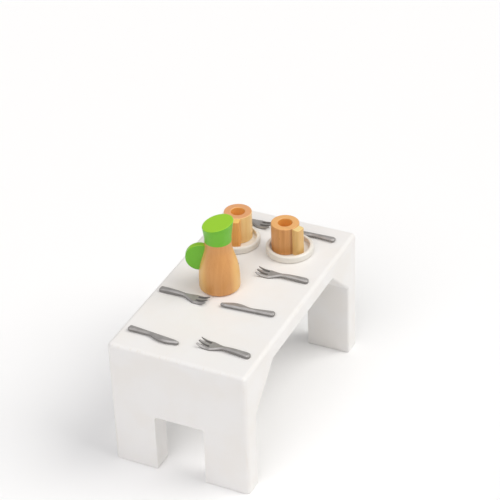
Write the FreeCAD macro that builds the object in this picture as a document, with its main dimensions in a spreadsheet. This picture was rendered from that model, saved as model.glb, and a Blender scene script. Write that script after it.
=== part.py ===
import FreeCAD, Part
import math
import os
import Sketcher

# A wooden dolls' house dining table, laid for four: a painted table on two notched
# end panels, with four forks, four knives, two plates, two mugs and a jug on it.
# Millimetres. X runs across the table, Y along it, +Z up. The origin is on the
# floor under the middle of the table. "Near" is the -Y end, "far" the +Y end.

SHEET = "sizes"

TABLE_SIZES = {
    "table_width": 75.0,
    "table_length": 138.0,
    "table_height": 72.0,
    "board_thickness": 9.5,
    "panel_thickness": 11.0,
    "foot_width": 24.0,
    "notch_height": 33.5,
    "block_run": 21.0,
    "block_rise": 20.0,
    "arris_radius": 2.2,
    "under_radius": 1.2,
    "foot_radius": 0.8,
    "notch_corner_radius": 1.5,
}

DOWEL_SIZES = {
    "dowel_diameter": 5.0,
    "dowel_spacing": 26.0,
    "dowel_in_board": 6.0,
    "dowel_in_panel": 12.0,
    "glue_gap": 0.1,
    "glue_pocket": 0.5,
}

TABLEWARE_SIZES = {
    "plate_diameter": 25.0,
    "plate_thickness": 4.0,
    "plate_recess_diameter": 20.8,
    "plate_recess_depth": 2.2,
    "plate_edge_radius": 1.0,
    "mug_diameter": 14.8,
    "mug_height": 15.7,
    "mug_bore_diameter": 7.4,
    "mug_bore_depth": 12.0,
    "mug_edge_radius": 0.5,
    "mug_handle_width": 5.4,
    "mug_handle_reach": 10.75,
    "mug_handle_drop": 0.4,
    "mug_handle_radius": 1.2,
    "mug_handle_edge": 0.45,
}

JUG_SIZES = {
    "jug_base_diameter": 21.0,
    "jug_neck_diameter": 13.8,
    "jug_shoulder_height": 11.9,
    "jug_throat_height": 23.9,
    "jug_body_height": 28.0,
    "jug_foot_radius": 1.6,
    "jug_shoulder_radius": 38.0,
    "jug_throat_radius": 9.0,
    "spout_flare_start": 2.2,
    "spout_flare_radius": 12.0,
    "spout_top_diameter": 16.8,
    "spout_blank_height": 13.0,
    "spout_middle_height": 10.0,
    "spout_tilt": 14.0,
    "spout_edge_radius": 0.35,
    "jug_handle_diameter": 15.0,
    "jug_handle_thickness": 3.4,
    "jug_handle_centre": 9.3,
    "jug_handle_height": 18.5,
    "jug_handle_flat": 5.6,
    "jug_handle_edge": 0.7,
    "jug_pin_diameter": 4.0,
    "jug_pin_in_body": 8.0,
    "jug_pin_in_spout": 5.0,
}

CUTLERY_SIZES = {
    "knife_length": 28.8,
    "knife_thickness": 2.2,
    "knife_handle_width": 3.6,
    "knife_neck_at": 12.6,
    "knife_neck_width": 2.2,
    "knife_belly_at": 20.3,
    "knife_belly_width": 4.6,
    "knife_tip_drop": 0.5,
    "knife_tip_width": 1.4,
    "knife_tip_slope": 2.4,
    "knife_bevel": 0.7,
    "knife_end_radius": 1.3,
    "knife_neck_radius": 9.0,
    "knife_belly_radius": 14.0,
    "knife_tip_radius": 0.8,
    "fork_length": 27.9,
    "fork_thickness": 2.0,
    "fork_handle_width": 3.5,
    "fork_neck_at": 14.6,
    "fork_neck_width": 2.2,
    "fork_neck_rise": 0.9,
    "fork_bend_at": 8.2,
    "fork_bend_rise": 0.5,
    "fork_head_at": 20.6,
    "fork_head_width": 6.8,
    "fork_bowl_at": 20.2,
    "fork_head_thickness": 1.3,
    "fork_tip_width": 6.5,
    "fork_tip_rise": 2.1,
    "fork_tip_thickness": 0.6,
    "fork_slot_width": 1.3,
    "fork_slot_mouth": 2.0,
    "fork_slot_start": 21.4,
    "fork_slot_radius": 0.6,
    "fork_end_radius": 1.2,
    "fork_neck_radius": 5.0,
    "fork_head_radius": 2.6,
    "fork_bevel": 0.65,
}

# Where each loose piece stands on the table: across, along, and the turn about Z
# in degrees. A fork or knife is placed by the end of its handle and points to its
# tip. A mug's turn is the way its handle points, a jug's likewise.
LAYOUT = {
    "knife_1": (-32.8, -54.2, -5.9),
    "fork_1": (32.3, -52.5, 177.6),
    "fork_2": (-34.1, -18.3, -2.2),
    "knife_2": (29.1, -16.5, 183.8),
    "knife_3": (-35.2, 16.5, -1.0),
    "fork_3": (32.7, 16.3, 183.0),
    "fork_4": (-33.4, 57.3, -3.0),
    "knife_4": (30.6, 56.3, 182.5),
    "plate_1": (-17.1, 36.7, 0.0),
    "plate_2": (12.1, 39.6, 0.0),
    "mug_1": (-17.3, 39.5, -76.0),
    "mug_2": (9.96, 39.1, -15.0),
    "jug": (-7.6, -3.2, 205.0),
}

# One knife lies on its other face.
TURNED_OVER = ("knife_4",)

SAME_PLACE = 0.01  # two lengths closer than this are taken as equal
LEAST_CUT = 0.01  # a cut that removes less than this volume has missed

doc = FreeCAD.newDocument("dining_table")
sheet = doc.addObject("Spreadsheet::Sheet", SHEET)
parts = []


def fill_sheet():
    """Write every driving dimension and place into the sheet, one named row each."""
    rows = {}
    for group in (TABLE_SIZES, DOWEL_SIZES, TABLEWARE_SIZES, JUG_SIZES, CUTLERY_SIZES):
        rows.update(group)
    for piece, (across, along, turn) in LAYOUT.items():
        rows[piece + "_across"] = across
        rows[piece + "_along"] = along
        rows[piece + "_turn"] = turn
    for number, (name, value) in enumerate(rows.items(), start=1):
        sheet.set("A%d" % number, name)
        sheet.set("B%d" % number, str(value))
        sheet.setAlias("B%d" % number, name)
    doc.recompute()


def formula(text):
    """Turn 'a_name / 2' into a formula that reads the sheet."""
    words = []
    for word in text.replace("(", "( ").replace(")", " )").split():
        is_name = word[0].isalpha() and "_" in word
        words.append("%s.%s" % (SHEET, word) if is_name else word)
    return " ".join(words)


def value(text):
    """The number that a formula gives now."""
    answer = sheet.evalExpression(formula(text))
    return float(getattr(answer, "Value", answer))


def bind(thing, prop, text):
    thing.setExpression(prop, formula(text))


# ---- small helpers for sketches, edges and placing ----

def plane_of(body, role):
    """The origin plane of a body, such as XY_Plane."""
    return [plane for plane in body.Origin.OriginFeatures if plane.Role == role][0]


def new_sketch(body, name, role):
    sketch = body.newObject("Sketcher::SketchObject", name)
    sketch.AttachmentSupport = [(plane_of(body, role), "")]
    sketch.MapMode = "FlatFace"
    return sketch


def hold_point(sketch, edge, end, across, up):
    """Hold one end of an edge at two distances from the origin, each a formula."""
    for kind, text in (("DistanceX", across), ("DistanceY", up)):
        number = sketch.addConstraint(
            Sketcher.Constraint(kind, -1, 1, edge, end, value(text)))
        sketch.setExpression("Constraints[%d]" % number, formula(text))


def polygon(sketch, corners):
    """A closed outline of straight edges with each corner held by two formulas."""
    points = [FreeCAD.Vector(value(across), value(up), 0) for across, up in corners]
    first = sketch.GeometryCount
    count = len(points)
    for i in range(count):
        sketch.addGeometry(Part.LineSegment(points[i], points[(i + 1) % count]), False)
    for i in range(count):
        following = first + (i + 1) % count
        sketch.addConstraint(Sketcher.Constraint("Coincident", first + i, 2, following, 1))
    for i, (across, up) in enumerate(corners):
        hold_point(sketch, first + i, 1, across, up)


def circle(sketch, across, up, radius):
    """A circle whose centre and radius are formulas."""
    centre = FreeCAD.Vector(value(across), value(up), 0)
    round_edge = Part.Circle(centre, FreeCAD.Vector(0, 0, 1), value(radius))
    number = sketch.addGeometry(round_edge, False)
    hold_point(sketch, number, 3, across, up)
    size = sketch.addConstraint(Sketcher.Constraint("Radius", number, value(radius)))
    sketch.setExpression("Constraints[%d]" % size, formula(radius))


def pad(body, sketch, name, length, midplane=False):
    feature = body.newObject("PartDesign::Pad", name)
    feature.Profile = sketch
    feature.Midplane = midplane
    bind(feature, "Length", length)
    doc.recompute()
    return feature


def pocket(body, sketch, name, length, reverse=False, midplane=False):
    """Cut a sketch out of the body, and make sure that something was cut."""
    before = body.Shape.Volume
    feature = body.newObject("PartDesign::Pocket", name)
    feature.Profile = sketch
    feature.Midplane = midplane
    feature.Reversed = reverse
    bind(feature, "Length", length)
    doc.recompute()
    if body.Shape.Volume > before - LEAST_CUT:
        raise RuntimeError("%s cuts nothing" % name)
    return feature


def revolve(body, sketch, name):
    """Turn a profile about the body's own vertical axis."""
    feature = body.newObject("PartDesign::Revolution", name)
    feature.Profile = sketch
    feature.ReferenceAxis = (sketch, ["V_Axis"])
    feature.Angle = 360.0
    doc.recompute()
    return feature


def edges_where(shape, wanted, upright):
    """Names of the edges whose two ends and middle all satisfy the test."""
    names = []
    for number, edge in enumerate(shape.Edges, start=1):
        middle = edge.valueAt((edge.FirstParameter + edge.LastParameter) / 2)
        points = [vertex.Point for vertex in edge.Vertexes] + [middle]
        box = edge.BoundBox
        is_upright = box.XLength < 0.001 and box.YLength < 0.001
        if all(wanted(point) for point in points) and (is_upright or not upright):
            names.append("Edge%d" % number)
    return names


def dress(body, kind, name, size, wanted, upright=False):
    """Round or bevel the edges of the body that satisfy the test."""
    names = edges_where(body.Shape, wanted, upright)
    return dress_edges(body, kind, name, size, names)


def dress_edges(body, kind, name, size, names):
    """Round or bevel the named edges of the body."""
    if not names:
        raise RuntimeError("%s finds no edge" % name)
    before = body.Tip
    feature = body.newObject("PartDesign::" + kind, name)
    feature.Base = (before, names)
    bind(feature, "Radius" if kind == "Fillet" else "Size", size)
    doc.recompute()
    if "Invalid" in feature.State:
        raise RuntimeError("%s can't be made on %s" % (name, names))
    return feature


def near(a, b):
    return abs(a - b) < SAME_PLACE


def new_body(name):
    body = doc.addObject("PartDesign::Body", name)
    body.Label = name
    return body


def stand(thing, place, height="table_height", turned_over=False):
    """Put a piece at its place on the table, at a height above the floor."""
    turn = FreeCAD.Rotation(FreeCAD.Vector(0, 0, 1), value(place + "_turn"))
    if turned_over:
        turn = turn.multiply(FreeCAD.Rotation(FreeCAD.Vector(1, 0, 0), 180))
    thing.Placement = FreeCAD.Placement(FreeCAD.Vector(0, 0, 0), turn)
    bind(thing, "Placement.Base.x", place + "_across")
    bind(thing, "Placement.Base.y", place + "_along")
    bind(thing, "Placement.Base.z", height)


def keep(thing, name):
    """Count a finished object as a sub-part, under its own name."""
    thing.Label = name
    parts.append((name, thing))


# ---- the painted table ----

def table_shape():
    """The whole table as it is after gluing and rounding over, before it is parted.

    The long side shows a board on two legs with a 45 degree block in each corner.
    A notch cut up from the floor leaves two feet at each end.
    """
    body = new_body("glued_table")
    side = new_sketch(body, "side_outline", "YZ_Plane")
    half = "table_length / 2"
    leg = "table_length / 2 - panel_thickness"
    block = "table_length / 2 - panel_thickness - block_run"
    under = "table_height - board_thickness"
    low = "table_height - board_thickness - block_rise"
    right = [(half, "table_height"), (half, "0"), (leg, "0"), (leg, low), (block, under)]
    left = [("0 - ( %s )" % across, up) for across, up in reversed(right)]
    polygon(side, right + left)
    pad(body, side, "table_block", "table_width", midplane=True)

    notch = new_sketch(body, "notch_outline", "XZ_Plane")
    edge = "table_width / 2 - foot_width"
    polygon(notch, [("0 - ( %s )" % edge, "0 - 1"), (edge, "0 - 1"),
                    (edge, "notch_height"), ("0 - ( %s )" % edge, "notch_height")])
    pocket(body, notch, "notches", "table_length + 2", midplane=True)

    half_wide = value("table_width / 2")
    half_long = value("table_length / 2")
    top = value("table_height")
    notch_side = value(edge)
    notch_top = value("notch_height")
    inner_face = value(leg)

    def outer_arris(point):
        on_side = near(abs(point.x), half_wide)
        on_end = near(abs(point.y), half_long)
        on_top = near(point.z, top)
        return (on_side and on_end) or (on_top and (on_side or on_end))

    def notch_corner(point):
        return near(abs(point.x), notch_side) and near(point.z, notch_top)

    def under_edge(point):
        return near(abs(point.x), half_wide) and abs(point.y) < inner_face + SAME_PLACE

    def foot_edge(point):
        return near(point.z, 0.0)

    dress(body, "Fillet", "notch_corners", "notch_corner_radius", notch_corner)
    dress(body, "Fillet", "outer_arrises", "arris_radius", outer_arris)
    dress(body, "Fillet", "under_edges", "under_radius", under_edge)
    dress(body, "Fillet", "foot_edges", "foot_radius", foot_edge)
    return body


def solid_box(name, width, length, height, along, up):
    """A box centred across the table, from 'along' and 'up' in its positive corner."""
    box = doc.addObject("Part::Box", name)
    bind(box, "Length", width)
    bind(box, "Width", length)
    bind(box, "Height", height)
    bind(box, "Placement.Base.x", "0 - ( %s ) / 2" % width)
    bind(box, "Placement.Base.y", along)
    bind(box, "Placement.Base.z", up)
    return box


def common(name, one, other):
    result = doc.addObject("Part::Common", name)
    result.Base = one
    result.Tool = other
    doc.recompute()
    return result


def cut(name, one, other):
    """One object less another, with a check that something was taken away."""
    result = doc.addObject("Part::Cut", name)
    result.Base = one
    result.Tool = other
    doc.recompute()
    if result.Shape.Volume > one.Shape.Volume - LEAST_CUT:
        raise RuntimeError("%s takes nothing away" % name)
    return result


def row_of_pins(name, radius, low, high, along):
    """Three upright pins in a row across the table, as one group of solids."""
    pins = []
    for number, step in enumerate((-1, 0, 1), start=1):
        pin = doc.addObject("Part::Cylinder", "%s_%d" % (name, number))
        bind(pin, "Radius", radius)
        bind(pin, "Height", "%s + %s" % (low, high))
        bind(pin, "Placement.Base.x", "%d * dowel_spacing" % step)
        bind(pin, "Placement.Base.y", along)
        bind(pin, "Placement.Base.z", "table_height - board_thickness - ( %s )" % low)
        pins.append(pin)
    group = doc.addObject("Part::Compound", name)
    group.Links = pins
    doc.recompute()
    return group


def table_parts():
    """Part the glued table into its board, end panels, corner blocks and dowels."""
    whole = table_shape()
    under = "table_height - board_thickness"
    holes = {}
    for end, sign in (("near", "0 - "), ("far", "")):
        along = "%s( table_length - panel_thickness ) / 2" % sign
        dowels = row_of_pins(end + "_dowels", "dowel_diameter / 2",
                             "dowel_in_panel", "dowel_in_board", along)
        keep(dowels, end + "_dowels")
        holes[end] = row_of_pins(end + "_dowel_holes", "dowel_diameter / 2 + glue_gap",
                                 "dowel_in_panel + glue_pocket",
                                 "dowel_in_board + glue_pocket", along)

    board_space = solid_box("board_space", "table_width + 2", "table_length + 2",
                            "board_thickness + 1", "0 - table_length / 2 - 1", under)
    board = common("board_blank", whole, board_space)
    board = cut("board_near_bored", board, holes["near"])
    keep(cut("board", board, holes["far"]), "tabletop")

    panel_starts = {"near": "0 - table_length / 2 - 1",
                    "far": "table_length / 2 - panel_thickness"}
    block_starts = {"near": "0 - table_length / 2 + panel_thickness",
                    "far": "table_length / 2 - panel_thickness - block_run"}
    for end in ("near", "far"):
        space = solid_box(end + "_panel_space", "table_width + 2", "panel_thickness + 1",
                          under, panel_starts[end], "0")
        blank = common(end + "_panel_blank", whole, space)
        keep(cut(end + "_panel", blank, holes[end]), end + "_end_panel")
        space = solid_box(end + "_block_space", "table_width + 2", "block_run",
                          "block_rise", block_starts[end],
                          "table_height - board_thickness - block_rise")
        keep(common(end + "_block", whole, space), end + "_corner_block")


# ---- plates and mugs ----

def plate(name):
    """A thick round plate with a flat recess, and its rim rounded over."""
    body = new_body(name)
    disc = new_sketch(body, name + "_disc_outline", "XY_Plane")
    circle(disc, "0", "0", "plate_diameter / 2")
    pad(body, disc, name + "_disc", "plate_thickness")
    floor = value("plate_thickness - plate_recess_depth")
    recess = new_sketch(body, name + "_recess_outline", "XY_Plane")
    recess.AttachmentOffset = FreeCAD.Placement(FreeCAD.Vector(0, 0, floor),
                                                FreeCAD.Rotation())
    circle(recess, "0", "0", "plate_recess_diameter / 2")
    pocket(body, recess, name + "_recess", "plate_recess_depth + 1", reverse=True)
    rim = value("plate_diameter / 2")
    lip = value("plate_recess_diameter / 2")
    thickness = value("plate_thickness")

    def outer_rim(point):
        return near(math.hypot(point.x, point.y), rim)

    def inner_rim(point):
        return near(point.z, thickness) and near(math.hypot(point.x, point.y), lip)

    dress(body, "Fillet", name + "_rim", "plate_edge_radius", outer_rim)
    dress(body, "Fillet", name + "_lip", "plate_edge_radius / 2", inner_rim)
    stand(body, name)
    keep(body, name)


def mug_body(name, height):
    """A turned cup: a cylinder bored from the top, with its rims eased."""
    body = new_body(name + "_body")
    wall = new_sketch(body, name + "_wall_outline", "XY_Plane")
    circle(wall, "0", "0", "mug_diameter / 2")
    pad(body, wall, name + "_wall", "mug_height")
    floor = value("mug_height - mug_bore_depth")
    bore = new_sketch(body, name + "_bore_outline", "XY_Plane")
    bore.AttachmentOffset = FreeCAD.Placement(FreeCAD.Vector(0, 0, floor),
                                              FreeCAD.Rotation())
    circle(bore, "0", "0", "mug_bore_diameter / 2")
    pocket(body, bore, name + "_bore", "mug_bore_depth + 1", reverse=True)
    top = value("mug_height")

    def rims(point):
        return near(point.z, top) or near(point.z, 0)

    dress(body, "Fillet", name + "_rims", "mug_edge_radius", rims)
    stand(body, name, height)
    keep(body, name + "_body")


def mug_handle(name, height):
    """A solid block handle, hollowed at the back to fit the wall of the cup."""
    block = new_body(name + "_handle_block")
    outline = new_sketch(block, name + "_handle_outline", "XY_Plane")
    half = "mug_handle_width / 2"
    polygon(outline, [("mug_bore_diameter / 2", "0 - " + half),
                      ("mug_handle_reach", "0 - " + half),
                      ("mug_handle_reach", half),
                      ("mug_bore_diameter / 2", half)])
    pad(block, outline, name + "_handle_pad", "mug_height - mug_handle_drop")
    reach = value("mug_handle_reach")

    high = value("mug_height - mug_handle_drop")

    def front(point):
        return near(point.x, reach)

    def top_rim(point):
        return near(point.z, high)

    dress(block, "Fillet", name + "_handle_front", "mug_handle_radius", front,
          upright=True)
    dress(block, "Fillet", name + "_handle_rim", "mug_handle_edge", top_rim)
    cup = doc.addObject("Part::Cylinder", name + "_cup_space")
    bind(cup, "Radius", "mug_diameter / 2")
    bind(cup, "Height", "mug_height")
    handle = cut(name + "_handle", block, cup)
    stand(handle, name, height)
    keep(handle, name + "_handle")


# ---- the jug ----

def jug_pieces():
    """A turned body, a slanted spout pinned on top and a disc handle let in behind.

    The jug is drawn with its handle along +X and turned into place.
    """
    body = new_body("jug_turning")
    profile = new_sketch(body, "jug_profile", "XZ_Plane")
    base = "jug_base_diameter / 2"
    neck = "jug_neck_diameter / 2"
    polygon(profile, [("0", "0"), (base, "0"), (base, "jug_shoulder_height"),
                      (neck, "jug_throat_height"), (neck, "jug_body_height"),
                      ("0", "jug_body_height")])
    revolve(body, profile, "jug_turned")
    shoulder = value("jug_shoulder_height")
    throat = value("jug_throat_height")
    dress(body, "Fillet", "jug_shoulder", "jug_shoulder_radius",
          lambda point: near(point.z, shoulder))
    dress(body, "Fillet", "jug_throat", "jug_throat_radius",
          lambda point: near(point.z, throat))
    dress(body, "Fillet", "jug_foot", "jug_foot_radius", lambda point: near(point.z, 0))

    slot = jug_disc("jug_slot", "glue_gap", rounded=False)
    hole = jug_pin("jug_pin_hole_low", "jug_pin_diameter / 2 + glue_gap",
                   "jug_pin_in_body + glue_pocket", "1")
    slotted = cut("jug_slotted", body, slot)
    bored = cut("jug_bored", slotted, hole)
    stand(bored, "jug")
    keep(bored, "jug_body")

    handle = jug_disc("jug_disc", "0", rounded=True)
    stand(handle, "jug")
    keep(handle, "jug_handle")

    spout = jug_spout()
    stand(spout, "jug")
    keep(spout, "jug_spout")

    pin = jug_pin("jug_pin", "jug_pin_diameter / 2", "jug_pin_in_body", "jug_pin_in_spout")
    stand(pin, "jug")
    keep(pin, "jug_dowel")


def jug_disc(name, gap, rounded):
    """The upright handle disc with a flat where it is glued in, larger by a gap."""
    body = new_body(name)
    outline = new_sketch(body, name + "_outline", "XZ_Plane")
    circle(outline, "jug_handle_centre", "jug_handle_height",
           "jug_handle_diameter / 2 + " + gap)
    pad(body, outline, name + "_pad", "jug_handle_thickness + 2 * " + gap, midplane=True)
    if rounded:
        dress(body, "Fillet", name + "_edge", "jug_handle_edge",
              lambda point: not near(point.y, 0))
    flat = new_sketch(body, name + "_flat_outline", "XZ_Plane")
    face = "jug_handle_flat - " + gap
    low = "jug_handle_height - jug_handle_diameter"
    high = "jug_handle_height + jug_handle_diameter"
    polygon(flat, [("0", low), (face, low), (face, high), ("0", high)])
    pocket(body, flat, name + "_flat", "jug_handle_thickness + 2", midplane=True)
    return body


def jug_pin(name, radius, low, high):
    pin = doc.addObject("Part::Cylinder", name)
    bind(pin, "Radius", radius)
    bind(pin, "Height", "%s + %s" % (low, high))
    cover = doc.addObject("Part::Compound", name + "_upright")
    cover.Links = [pin]
    bind(pin, "Placement.Base.z", "jug_body_height - ( %s )" % low)
    doc.recompute()
    return cover


def jug_spout():
    """A flared collar whose top is cut on the slant, highest opposite the handle."""
    body = new_body("spout_turning")
    profile = new_sketch(body, "spout_profile", "XZ_Plane")
    neck = "jug_neck_diameter / 2"
    foot = "jug_body_height"
    polygon(profile, [("0", foot), (neck, foot), (neck, foot + " + spout_flare_start"),
                      ("spout_top_diameter / 2", foot + " + spout_blank_height"),
                      ("0", foot + " + spout_blank_height")])
    revolve(body, profile, "spout_turned")
    flare = value(foot + " + spout_flare_start")
    dress(body, "Fillet", "spout_throat", "spout_flare_radius",
          lambda point: near(point.z, flare))

    slant = new_sketch(body, "spout_slant_outline", "XZ_Plane")
    middle = foot + " + spout_middle_height"
    wide = "jug_base_diameter"
    drop = wide + " * tan( spout_tilt * 1deg )"
    ceiling = foot + " + 2 * spout_blank_height"
    polygon(slant, [("0 - " + wide, middle + " + " + drop), (wide, middle + " - " + drop),
                    (wide, ceiling), ("0 - " + wide, ceiling)])
    pocket(body, slant, "spout_slant", "2 * jug_base_diameter", midplane=True)
    low_edge = value(middle) - value("spout_top_diameter / 2")
    collar = value(neck)
    dress(body, "Fillet", "spout_edge", "spout_edge_radius",
          lambda point: point.z > low_edge and math.hypot(point.x, point.y) > collar)
    hole = jug_pin("jug_pin_hole_high", "jug_pin_diameter / 2 + glue_gap",
                   "1", "jug_pin_in_spout + glue_pocket")
    return cut("spout_bored", body, hole)


# ---- forks and knives ----

def knife(name):
    """A flat knife: straight back, waisted handle, round-bellied blade.

    Drawn along +X from the end of its handle, with its back on the +Y side, and
    centred on its thickness so that it can lie on either face.
    """
    body = new_body(name)
    outline = new_sketch(body, name + "_outline", "XY_Plane")
    back = "knife_handle_width / 2"
    polygon(outline, [("0", back), ("0", "0 - " + back),
                      ("knife_neck_at", back + " - knife_neck_width"),
                      ("knife_belly_at", back + " - knife_belly_width"),
                      ("knife_length", back + " - knife_tip_drop - knife_tip_width"),
                      ("knife_length", back + " - knife_tip_drop"),
                      ("knife_length - knife_tip_slope", back)])
    pad(body, outline, name + "_blank", "knife_thickness", midplane=True)
    neck_at = value("knife_neck_at")
    belly_at = value("knife_belly_at")
    tip_at = value("knife_length")
    slope_at = value("knife_length - knife_tip_slope")
    dress(body, "Fillet", name + "_handle_end", "knife_end_radius",
          lambda point: near(point.x, 0), upright=True)
    dress(body, "Fillet", name + "_waist", "knife_neck_radius",
          lambda point: near(point.x, neck_at), upright=True)
    dress(body, "Fillet", name + "_belly", "knife_belly_radius",
          lambda point: near(point.x, belly_at), upright=True)
    dress(body, "Fillet", name + "_tip", "knife_tip_radius",
          lambda point: near(point.x, tip_at) or near(point.x, slope_at), upright=True)
    half = value("knife_thickness / 2")
    dress(body, "Chamfer", name + "_bevel", "knife_bevel",
          lambda point: near(abs(point.z), half))
    stand(body, name, "table_height + knife_thickness / 2", name in TURNED_OVER)
    keep(body, name)


def fork(name):
    """A fork with three tines, arched at the neck and turned up at the tips.

    Drawn along +X from the end of its handle. The plan is cut from a thick blank,
    and the blank is then cut above and below to the arched side view.
    """
    body = new_body(name)
    plan = new_sketch(body, name + "_plan", "XY_Plane")
    upper = [("0", "fork_handle_width / 2"), ("fork_neck_at", "fork_neck_width / 2"),
             ("fork_head_at", "fork_head_width / 2"),
             ("fork_length", "fork_tip_width / 2")]
    lower = [(across, "0 - " + up) for across, up in reversed(upper)]
    polygon(plan, upper + lower)
    blank = "fork_thickness + fork_tip_rise"
    pad(body, plan, name + "_blank", blank)
    neck_at = value("fork_neck_at")
    head_at = value("fork_head_at")
    dress(body, "Fillet", name + "_handle_end", "fork_end_radius",
          lambda point: near(point.x, 0), upright=True)
    dress(body, "Fillet", name + "_waist", "fork_neck_radius",
          lambda point: near(point.x, neck_at), upright=True)
    dress(body, "Fillet", name + "_shoulder", "fork_head_radius",
          lambda point: near(point.x, head_at), upright=True)

    under = [("0", "0"), ("fork_bend_at", "fork_bend_rise"),
             ("fork_neck_at", "fork_neck_rise"), ("fork_bowl_at", "0"),
             ("fork_length", "fork_tip_rise")]
    thicknesses = ["fork_thickness", "fork_thickness", "fork_head_thickness",
                   "fork_head_thickness", "fork_tip_thickness"]
    over = [(across, up + " + " + thickness)
            for (across, up), thickness in zip(under, thicknesses)]
    carve(body, name + "_over", over, blank + " + 1")
    bevel_top(body, name)
    fork_slots(body, name, blank)
    carve(body, name + "_under", under, "0 - 1")
    stand(body, name)
    keep(body, name)


def fork_slots(body, name, depth):
    """Part the tines with two slots that widen towards the tips."""
    slots = new_sketch(body, name + "_slots_outline", "XY_Plane")
    for sign in ("", "0 - "):
        middle = "( fork_tip_width + fork_slot_mouth ) / 6"
        root = [sign + "( %s %s fork_slot_width / 2 )" % (middle, side) for side in "-+"]
        mouth = [sign + "( %s %s fork_slot_mouth / 2 )" % (middle, side) for side in "-+"]
        polygon(slots, [("fork_slot_start", root[0]), ("fork_length", mouth[0]),
                        ("fork_length + 1", mouth[0]), ("fork_length + 1", mouth[1]),
                        ("fork_length", mouth[1]), ("fork_slot_start", root[1])])
    pocket(body, slots, name + "_slots", depth + " + 1", reverse=True)
    slot_at = value("fork_slot_start")
    dress(body, "Fillet", name + "_slot_roots", "fork_slot_radius",
          lambda point: near(point.x, slot_at), upright=True)


def carve(body, name, line, outer):
    """Cut the blank away on one side of a smooth line, as far as the height 'outer'."""
    view = new_sketch(body, name + "_outline", "XZ_Plane")
    points = [FreeCAD.Vector(value(across), value(up), 0) for across, up in line]
    curve = Part.BSplineCurve()
    curve.interpolate(points)
    start, end = points[0], points[-1]
    before = FreeCAD.Vector(start.x - 1, start.y, 0)
    after = FreeCAD.Vector(end.x + 1, end.y, 0)
    far_corner = FreeCAD.Vector(end.x + 1, value(outer), 0)
    near_corner = FreeCAD.Vector(start.x - 1, value(outer), 0)
    edges = [Part.LineSegment(before, start), curve, Part.LineSegment(end, after),
             Part.LineSegment(after, far_corner),
             Part.LineSegment(far_corner, near_corner),
             Part.LineSegment(near_corner, before)]
    view.addGeometry(edges, False)
    for edge in range(len(edges)):
        view.addConstraint(Sketcher.Constraint("Block", edge))
    pocket(body, view, name + "_cut", "fork_head_width + 2", midplane=True)


def bevel_top(body, name):
    """Bevel the edges all round the top face of a fork."""
    shape = body.Shape
    top = max([face for face in shape.Faces if looks_up(face)], key=lambda face: face.Area)
    names = ["Edge%d" % number for number, edge in enumerate(shape.Edges, start=1)
             if any(edge.isSame(rim) for rim in top.Edges)]
    dress_edges(body, "Chamfer", name + "_bevel", "fork_bevel", names)


def looks_up(face):
    """True for a face whose middle looks upwards."""
    first_low, first_high, second_low, second_high = face.ParameterRange
    middle = ((first_low + first_high) / 2, (second_low + second_high) / 2)
    return face.normalAt(*middle).z > 0


# ---- build, check and write ----

def check_and_write():
    doc.recompute()
    for thing in doc.Objects:
        if "Invalid" in thing.State or "Error" in thing.State:
            raise RuntimeError("%s failed: %s" % (thing.Name, thing.State))
    os.makedirs("parts", exist_ok=True)
    for name, thing in parts:
        shape = thing.Shape
        if shape.isNull() or not shape.isValid():
            raise RuntimeError("%s has no valid shape" % name)
        box = shape.optimalBoundingBox()
        print("%-18s solids %d volume %9.2f" % (name, len(shape.Solids), shape.Volume))
        print("    x %7.2f..%6.2f y %7.2f..%6.2f z %6.2f..%6.2f"
              % (box.XMin, box.XMax, box.YMin, box.YMax, box.ZMin, box.ZMax))
        shape.exportStep("parts/%s.step" % name)


fill_sheet()
table_parts()
for number in (1, 2):
    plate("plate_%d" % number)
    on_plate = "table_height + plate_thickness - plate_recess_depth"
    mug_body("mug_%d" % number, on_plate)
    mug_handle("mug_%d" % number, on_plate)
jug_pieces()
for number in (1, 2, 3, 4):
    knife("knife_%d" % number)
    fork("fork_%d" % number)
check_and_write()
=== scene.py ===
import math

import bpy
from mathutils import Matrix, Vector


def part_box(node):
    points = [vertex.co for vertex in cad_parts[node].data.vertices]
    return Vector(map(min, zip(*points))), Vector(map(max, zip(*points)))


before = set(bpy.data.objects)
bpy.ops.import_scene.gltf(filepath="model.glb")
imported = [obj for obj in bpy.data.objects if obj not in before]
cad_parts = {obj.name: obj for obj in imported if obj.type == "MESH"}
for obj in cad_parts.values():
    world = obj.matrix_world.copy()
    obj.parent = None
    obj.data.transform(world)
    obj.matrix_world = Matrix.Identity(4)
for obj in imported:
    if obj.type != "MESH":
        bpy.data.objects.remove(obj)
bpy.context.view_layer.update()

# A wooden dolls' house table laid for a meal. Every piece is the CAD model's own
# node with a finish: white, green or natural wood, or a silver-grey moulding.
# Metres throughout.

MM = 0.001

FORKS = ["fork_%d" % number for number in (1, 2, 3, 4)]
KNIVES = ["knife_%d" % number for number in (1, 2, 3, 4)]
PLATES = ["plate_1", "plate_2"]

# Paint and wood, as linear colours.
WHITE_PAINT = (0.87, 0.855, 0.84)
WHITE_DEEPER = (0.857, 0.829, 0.794)
BARE_WOOD = (0.74, 0.66, 0.55)
PLATE_PAINT = (0.84, 0.81, 0.75)
PLATE_DEEPER = (0.81, 0.775, 0.70)
GREEN_PAINT = (0.17, 0.53, 0.028)
GREEN_DEEPER = (0.15, 0.49, 0.024)
# Painted light: the lighter, yellower green of lit upward faces.
GREEN_PAINTED_LIT_TOP = (0.34, 0.66, 0.028)
SILVER = (0.41, 0.395, 0.385)
SILVER_DEEPER = (0.35, 0.336, 0.326)
# Painted shade: the darker grey of the silver's upright sides.
SILVER_PAINTED_SIDE_SHADE = (0.22, 0.211, 0.204)

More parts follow.
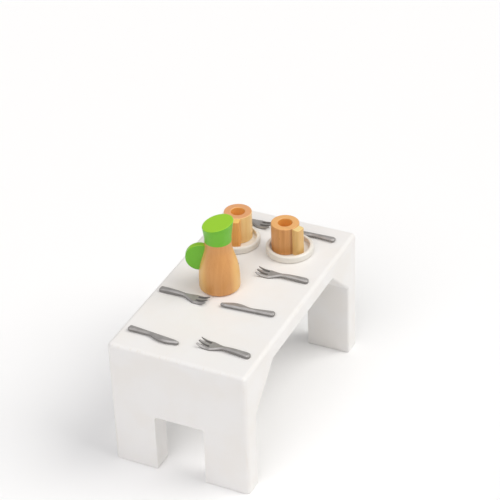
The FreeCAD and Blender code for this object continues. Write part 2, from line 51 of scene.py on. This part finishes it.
# Kinds of beech, each a light and a dark colour.
JUG_WOOD = ((0.72, 0.345, 0.105), (0.60, 0.25, 0.066))
MUG_1_WOOD = ((0.95, 0.68, 0.29), (0.88, 0.55, 0.21))
MUG_1_END = (0.72, 0.29, 0.13)
MUG_2_WOOD = ((0.75, 0.37, 0.12), (0.56, 0.235, 0.06))
ORANGE_WOOD = ((0.90, 0.46, 0.11), (0.77, 0.31, 0.062))
PALE_WOOD = ((0.81, 0.54, 0.20), (0.70, 0.39, 0.12))
# Painted bounce light: the brighter, deeper orange inside the mugs' bores.
BORE_PAINTED_BOUNCE = (0.95, 0.46, 0.10)
# Painted sheen: the paler colour on the jug's left and right sides.
PAINTED_EDGE_SHEEN = (0.87, 0.52, 0.16)
# Painted shadow: the brown band that mug_2's handle casts on its cup.
HANDLE_SHADOW_BROWN = (0.36, 0.155, 0.045)

BORE_RADIUS = 3.7 * MM
MUG_2_TURN = math.radians(-15.0)
# Direction and start of the painted sheen on the jug's two sides.
PAINTED_SHEEN_TURN = math.radians(26.0)
PAINTED_SHEEN_START = 5.0 * MM
HANDLE_HALF_WIDTH = 2.7 * MM


# ---- camera, light and floor ----

CAMERA_PLACE = (0.35308, -0.69712, 0.61404)
CAMERA_TURN = math.radians(26.30)
CAMERA_TILT = math.radians(56.33)
CAMERA_ROLL = math.radians(-2.10)
CAMERA_LENS = 134.78  # millimetres, on a sensor 36 wide


def make_camera():
    camera = bpy.data.cameras.new("camera")
    camera.lens = CAMERA_LENS
    camera.sensor_width = 36.0
    camera.clip_start = 0.01
    holder = bpy.data.objects.new("camera", camera)
    turn = Matrix.Rotation(CAMERA_TURN, 4, "Z")
    tilt = Matrix.Rotation(CAMERA_TILT, 4, "X")
    roll = Matrix.Rotation(CAMERA_ROLL, 4, "Z")
    holder.matrix_world = Matrix.Translation(CAMERA_PLACE) @ turn @ tilt @ roll
    bpy.context.scene.collection.objects.link(holder)
    bpy.context.scene.camera = holder


def soft_sun(name, azimuth, height, strength, spread, colour=(1.0, 1.0, 1.0)):
    """An even soft light from far off, by compass angle, height angle and spread."""
    light = bpy.data.lights.new(name, "SUN")
    light.energy = strength
    light.angle = math.radians(spread)
    light.color = colour
    holder = bpy.data.objects.new(name, light)
    around = math.radians(azimuth)
    up = math.radians(height)
    toward = Vector((math.cos(up) * math.cos(around), math.cos(up) * math.sin(around),
                     math.sin(up)))
    holder.matrix_world = toward.to_track_quat("Z", "Y").to_matrix().to_4x4()
    bpy.context.scene.collection.objects.link(holder)


def make_studio():
    """A pale floor under an even sky, a key light from the right and a soft front fill."""
    scene = bpy.context.scene
    scene.view_settings.view_transform = "Standard"
    world = bpy.data.worlds.new("studio")
    world.use_nodes = True
    sky = world.node_tree.nodes["Background"]
    sky.inputs["Color"].default_value = (1.0, 1.0, 1.0, 1.0)
    sky.inputs["Strength"].default_value = 0.30
    scene.world = world

    soft_sun("key", 20.0, 50.0, 1.65, 46.0, (1.0, 0.985, 0.955))
    soft_sun("fill", -92.0, 48.0, 1.12, 45.0, (1.0, 0.98, 1.0))
    soft_sun("overhead", 120.0, 82.0, 0.3, 70.0)

    mesh = bpy.data.meshes.new("floor")
    reach = 3.0
    mesh.from_pydata([(-reach, -reach, 0), (reach, -reach, 0), (reach, reach, 0),
                      (-reach, reach, 0)], [], [(0, 1, 2, 3)])
    floor = bpy.data.objects.new("floor", mesh)
    scene.collection.objects.link(floor)
    graph = Graph("floor_paper", (0.95, 0.95, 0.95), 0.9)
    mesh.materials.append(graph.material)


# ---- material nodes ----

class Graph:
    """The nodes of one material, with a short call for each kind that is used."""

    def __init__(self, name, colour, roughness):
        self.material = bpy.data.materials.new(name)
        self.material.use_nodes = True
        self.nodes = self.material.node_tree.nodes
        self.links = self.material.node_tree.links
        self.shader = self.nodes["Principled BSDF"]
        self.shader.inputs["Base Color"].default_value = (*colour, 1.0)
        self.shader.inputs["Roughness"].default_value = roughness
        self.place = self.nodes.new("ShaderNodeTexCoord").outputs["Object"]

    def feed(self, source, socket):
        """Put a number, a colour or another node's output into a socket."""
        if isinstance(source, bpy.types.NodeSocket):
            self.links.new(source, socket)
        else:
            socket.default_value = source

    def surface(self, name, source):
        self.feed(source, self.shader.inputs[name])

    def sum(self, operation, first, second=0.0, clamp=False):
        node = self.nodes.new("ShaderNodeMath")
        node.operation = operation
        node.use_clamp = clamp
        self.feed(first, node.inputs[0])
        self.feed(second, node.inputs[1])
        return node.outputs[0]

    def split(self, vector):
        node = self.nodes.new("ShaderNodeSeparateXYZ")
        self.feed(vector, node.inputs[0])
        return node.outputs

    def stretch(self, scale, shift=(0.0, 0.0, 0.0), turn=(0.0, 0.0, 0.0)):
        """The object's own coordinates, shifted first, then turned, then scaled."""
        move = self.nodes.new("ShaderNodeMapping")
        move.vector_type = "POINT"
        self.feed(self.place, move.inputs["Vector"])
        move.inputs["Location"].default_value = [-part for part in shift]
        spin = self.nodes.new("ShaderNodeMapping")
        self.feed(move.outputs[0], spin.inputs["Vector"])
        spin.inputs["Rotation"].default_value = turn
        grow = self.nodes.new("ShaderNodeMapping")
        self.feed(spin.outputs[0], grow.inputs["Vector"])
        grow.inputs["Scale"].default_value = scale
        return grow.outputs[0]

    def noise(self, vector, detail=3.0, roughness=0.5, distortion=0.0):
        node = self.nodes.new("ShaderNodeTexNoise")
        self.feed(vector, node.inputs["Vector"])
        node.inputs["Scale"].default_value = 1.0
        node.inputs["Detail"].default_value = detail
        node.inputs["Roughness"].default_value = roughness
        node.inputs["Distortion"].default_value = distortion
        return node.outputs[0]

    def between(self, factor, low, high, start=0.0, end=1.0):
        """A number that goes smoothly from start to end as factor goes from low to high."""
        node = self.nodes.new("ShaderNodeMapRange")
        node.interpolation_type = "SMOOTHSTEP"
        self.feed(factor, node.inputs["Value"])
        for socket, amount in zip(node.inputs[1:5], (low, high, start, end)):
            socket.default_value = amount
        return node.outputs[0]

    def mix(self, factor, first, second, blend="MIX"):
        node = self.nodes.new("ShaderNodeMix")
        node.data_type = "RGBA"
        node.blend_type = blend
        self.feed(factor, node.inputs[0])
        for socket, source in ((node.inputs[6], first), (node.inputs[7], second)):
            self.feed((*source, 1.0) if isinstance(source, tuple) else source, socket)
        return node.outputs[2]

    def upward(self):
        """How far the surface looks up: 1 on a level top and 0 on an upright side."""
        shape = self.nodes.new("ShaderNodeNewGeometry")
        return self.split(shape.outputs["Normal"])[2]

    def distance(self, vector):
        node = self.nodes.new("ShaderNodeVectorMath")
        node.operation = "LENGTH"
        self.feed(vector, node.inputs[0])
        return node.outputs["Value"]

    def bump(self, height, distance, under=None):
        """Raise the surface by a height of 0 to 1 times a distance in metres."""
        node = self.nodes.new("ShaderNodeBump")
        node.inputs["Distance"].default_value = distance
        self.feed(height, node.inputs["Height"])
        if under is not None:
            self.feed(under, node.inputs["Normal"])
        return node.outputs[0]


# ---- finishes ----

def near_edges(graph, reach):
    """1 along the outer edges of the table and 0 further in than reach."""
    low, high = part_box("tabletop")
    along_x, along_y, along_z = graph.split(graph.place)
    depths = [graph.sum("SUBTRACT", high.x, graph.sum("ABSOLUTE", along_x)),
              graph.sum("SUBTRACT", high.y, graph.sum("ABSOLUTE", along_y)),
              graph.sum("SUBTRACT", high.z, along_z)]
    pairs = [graph.sum("MAXIMUM", depths[0], depths[1]),
             graph.sum("MAXIMUM", depths[1], depths[2]),
             graph.sum("MAXIMUM", depths[0], depths[2])]
    nearest = graph.sum("MINIMUM", pairs[0], graph.sum("MINIMUM", pairs[1], pairs[2]))
    return graph.between(nearest, 0.3 * reach, reach, 1.0, 0.0)


def table_paint(name, grain):
    """White satin paint with the grain of the wood showing faintly through it.

    grain is the scale of the fibres along each axis, least along the grain.
    """
    graph = Graph(name, WHITE_PAINT, 0.4)
    fibres = graph.noise(graph.stretch(grain), 4.0, 0.6)
    clouds = graph.noise(graph.stretch((55.0, 55.0, 55.0)), 3.0)
    peel = graph.noise(graph.stretch((1100.0, 1100.0, 1100.0)), 1.0)
    colour = graph.mix(graph.between(clouds, 0.35, 0.7, 0.0, 0.8), WHITE_PAINT,
                       WHITE_DEEPER)
    worn = graph.sum("MULTIPLY", near_edges(graph, 2.2 * MM),
                     graph.between(fibres, 0.5, 0.72, 0.0, 0.35))
    colour = graph.mix(worn, colour, BARE_WOOD)
    graph.surface("Base Color", colour)
    graph.surface("Roughness", graph.between(clouds, 0.3, 0.7, 0.36, 0.48))
    skin = graph.bump(peel, 0.012 * MM)
    graph.surface("Normal", graph.bump(fibres, 0.03 * MM, skin))
    graph.surface("Coat Weight", 0.15)
    graph.surface("Coat Roughness", 0.3)
    return graph.material


def gloss_paint(name, colour, deeper, roughness, painted_lit_top=None):
    """Paint on a small turned piece, with brush softness and slightly uneven depth. With a lit
    top colour given, upward faces are painted lighter in it: painted light on the top.
    """
    graph = Graph(name, colour, roughness)
    clouds = graph.noise(graph.stretch((160.0, 160.0, 160.0)), 3.0)
    peel = graph.noise(graph.stretch((1500.0, 1500.0, 1500.0)), 1.0)
    fibres = graph.noise(graph.stretch((900.0, 900.0, 120.0)), 3.0)
    shade = graph.mix(graph.between(clouds, 0.35, 0.7, 0.0, 0.9), colour, deeper)
    # Painted light: upward faces shade over to the lighter lit-top colour.
    if painted_lit_top is not None:
        shade = graph.mix(graph.between(graph.upward(), 0.35, 0.9), shade, painted_lit_top)
    graph.surface("Base Color", shade)
    graph.surface("Roughness", graph.between(clouds, 0.3, 0.7, roughness, roughness + 0.1))
    skin = graph.bump(peel, 0.01 * MM)
    graph.surface("Normal", graph.bump(fibres, 0.012 * MM, skin))
    graph.surface("Specular IOR Level", 0.35)
    graph.surface("Coat Weight", 0.2)
    graph.surface("Coat Roughness", 0.2)
    return graph.material


def handle_shadow_band(graph, centre, turn, offset):
    """Painted shadow of the handle on the cup: 1 beside the handle on its near side, fading
    out over 2 mm round the cup.
    """
    to_handle, beside, _ = graph.split(graph.stretch((1.0, 1.0, 1.0),
                                                     (centre.x, centre.y, 0.0),
                                                     (0.0, 0.0, -turn)))
    fade = graph.between(beside, -offset - 2.0 * MM, -offset, 0.0, 0.75)
    clear = graph.between(beside, -offset, -offset + 0.5 * MM, 1.0, 0.0)
    outward = graph.between(to_handle, 0.0, 1.0 * MM)
    return graph.sum("MULTIPLY", outward, graph.sum("MULTIPLY", fade, clear))


def painted_sheen_sides(graph, centre, start):
    """Painted sheen: 0 in the middle of the piece, rising to its two sides along one fixed
    level direction, which are painted paler as light reflected there.
    """
    across = graph.split(graph.stretch((1.0, 1.0, 1.0), (centre.x, centre.y, 0.0),
                                       (0.0, 0.0, -PAINTED_SHEEN_TURN)))[0]
    return graph.between(graph.sum("ABSOLUTE", across), start, start + 4.0 * MM, 0.0, 0.85)


def beech(name, centre, heart, tones, grain, bore=0.0, ends=None, handle_shadow=None,
          sapwood_start=None):
    """Lacquered beech with upright grain and end grain of its own colour.

    centre is the piece's own middle, and heart is where the middle of the tree was,
    seen from there, so the rings run down the sides as streaks and across the ends
    as arcs. tones are the light and the dark colour, and grain is how much of the
    dark one shows. Within the radius of the bore the wood is painted a brighter,
    deeper orange, painted bounce light inside the bore. ends is the colour of the
    upward faces, the end grain's, by default a paler one that is partly a painted
    lighter top. handle_shadow is a brown upright band of painted shadow that the
    handle casts on the cup, given as the handle's turn in radians and the offset of
    the band from the line through the handle. sapwood_start is how far from
    the middle a paler painted sheen begins, on both sides, painted light reflected
    on the piece's two sides.
    """
    light, dark = tones
    graph = Graph(name, light, 0.42)
    shift = (centre.x + heart[0], centre.y + heart[1], 0.0)
    wander = graph.noise(graph.stretch((90.0, 90.0, 22.0), shift), 2.0)
    from_heart = graph.distance(graph.stretch((1.0, 1.0, 0.0), shift))
    radius = graph.sum("ADD", from_heart, graph.sum("MULTIPLY", wander, 3.2 * MM))
    turns = graph.sum("FRACT", graph.sum("MULTIPLY", radius, 1.0 / (2.3 * MM)))
    late_wood = graph.sum("MULTIPLY", graph.between(turns, 0.1, 0.9),
                          graph.between(turns, 0.9, 1.0, 1.0, 0.0))
    fibres = graph.noise(graph.stretch((2600.0, 2600.0, 130.0), shift), 4.0, 0.6)
    streaks = graph.noise(graph.stretch((420.0, 420.0, 26.0), shift), 3.0, 0.6)
    flecks = graph.noise(graph.stretch((1500.0, 5200.0, 420.0), shift), 1.0)

    depth = graph.sum("ADD", graph.sum("MULTIPLY", late_wood, 0.35 * grain),
                      graph.between(streaks, 0.3, 0.75, 0.0, 0.7 * grain))
    depth = graph.sum("ADD", depth, graph.between(fibres, 0.35, 0.75, 0.0, 0.25 * grain),
                      clamp=True)
    colour = graph.mix(depth, light, dark)
    specks = graph.between(flecks, 0.66, 0.76, 0.0, 0.4 * grain)
    colour = graph.mix(specks, colour, tuple(part * 0.55 for part in dark))
    # Painted sheen: paler towards the two sides, a painted reflection of light.
    if sapwood_start is not None:
        colour = graph.mix(painted_sheen_sides(graph, centre, sapwood_start), colour, PAINTED_EDGE_SHEEN)
    # Painted shadow: a brown band on the cup beside the handle.
    if handle_shadow is not None:
        colour = graph.mix(handle_shadow_band(graph, centre, *handle_shadow), colour, HANDLE_SHADOW_BROWN)
    # Upward faces take the ends colour: end grain, by default paler, partly a painted lighter
    # top where light falls from above.
    if ends is None:
        ends = (min(light[0] * 1.2, 0.93), light[1] * 1.32, light[2] * 1.5)
    colour = graph.mix(graph.between(graph.upward(), 0.5, 0.95, 0.0, 0.75), colour, ends)
    # Painted bounce light: within the bore the wood is painted a brighter, deeper orange.
    if bore:
        from_middle = graph.distance(graph.stretch((1.0, 1.0, 0.0), (centre.x, centre.y, 0.0)))
        painted_bounce = graph.between(from_middle, bore, bore + 0.2 * MM, 0.85, 0.0)
        colour = graph.mix(painted_bounce, colour, BORE_PAINTED_BOUNCE)
    graph.surface("Base Color", colour)
    graph.surface("Roughness", graph.between(fibres, 0.3, 0.7, 0.38, 0.5))
    graph.surface("Normal", graph.bump(fibres, 0.02 * MM))
    graph.surface("Coat Weight", 0.35)
    graph.surface("Coat Roughness", 0.22)
    return graph.material


def silver():
    """A satin silver-grey moulding with fine polishing lines along its length, its upright
    sides darkened with painted shade.
    """
    graph = Graph("silver_satin_and_side_shade", SILVER, 0.3)
    lines = graph.noise(graph.stretch((120.0, 3200.0, 3200.0)), 3.0, 0.6)
    clouds = graph.noise(graph.stretch((260.0, 260.0, 260.0)), 3.0)
    colour = graph.mix(graph.between(clouds, 0.35, 0.7), SILVER, SILVER_DEEPER)
    # Painted shade: upright sides darker than the top faces and bevels.
    upright = graph.between(graph.upward(), 0.1, 0.5, 0.8, 0.0)
    graph.surface("Base Color", graph.mix(upright, colour, SILVER_PAINTED_SIDE_SHADE))
    graph.surface("Metallic", 0.4)
    graph.surface("Roughness", graph.between(lines, 0.3, 0.7, 0.36, 0.5))
    graph.surface("Normal", graph.bump(lines, 0.008 * MM))
    return graph.material


def paint(node, material):
    """Give a CAD node its finish."""
    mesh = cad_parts[node].data
    mesh.materials.clear()
    mesh.materials.append(material)


def finish_wooden_pieces():
    along = table_paint("paint_board", (700.0, 40.0, 700.0))
    upright = table_paint("paint_upright", (700.0, 700.0, 40.0))
    across = table_paint("paint_across", (40.0, 700.0, 700.0))
    paint("tabletop", along)
    for end in ("near", "far"):
        paint(end + "_end_panel", upright)
        paint(end + "_corner_block", across)
        paint(end + "_dowels", beech(end + "_dowel_wood", Vector(), (0.02, 0.004),
                                     PALE_WOOD, 1.0))

    plate_finish = gloss_paint("paint_plate", PLATE_PAINT, PLATE_DEEPER, 0.3)
    for plate in PLATES:
        paint(plate, plate_finish)

    # The green is painted lighter on its upward faces, as painted light from above.
    green = gloss_paint("paint_green_and_lit_top", GREEN_PAINT, GREEN_DEEPER, 0.34, GREEN_PAINTED_LIT_TOP)
    paint("jug_spout", green)
    paint("jug_handle", green)
    # The jug's wood has a painted sheen, paler on its two sides.
    jug_wood_and_sheen = beech("jug_wood_and_sheen", middle_of("jug_body"), (0.018, -0.009), JUG_WOOD, 0.45,
                     sapwood_start=PAINTED_SHEEN_START)
    paint("jug_body", jug_wood_and_sheen)
    paint("jug_dowel", jug_wood_and_sheen)
    # mug_2's handle casts a painted shadow, a brown band on the cup beside it.
    band = (MUG_2_TURN, HANDLE_HALF_WIDTH)
    mugs = {"mug_1": ((0.012, 0.011), MUG_1_WOOD, ORANGE_WOOD, MUG_1_END, None),
            "mug_2": ((-0.010, -0.014), MUG_2_WOOD, PALE_WOOD, None, band)}
    for mug, (heart, body_tones, handle_tones, ends, handle_shadow) in mugs.items():
        middle = middle_of(mug + "_body")
        turned = (heart[1], -heart[0])
        paint(mug + "_body", beech(mug + "_wood", middle, heart, body_tones, 0.8,
                                   BORE_RADIUS, ends, handle_shadow))
        paint(mug + "_handle", beech(mug + "_handle_wood", middle, turned,
                                     handle_tones, 0.7))


def middle_of(node):
    low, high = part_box(node)
    return (low + high) / 2


# ---- build ----

make_camera()
make_studio()
finish_wooden_pieces()
silver_finish_and_side_shade = silver()
for piece in FORKS + KNIVES:
    paint(piece, silver_finish_and_side_shade)
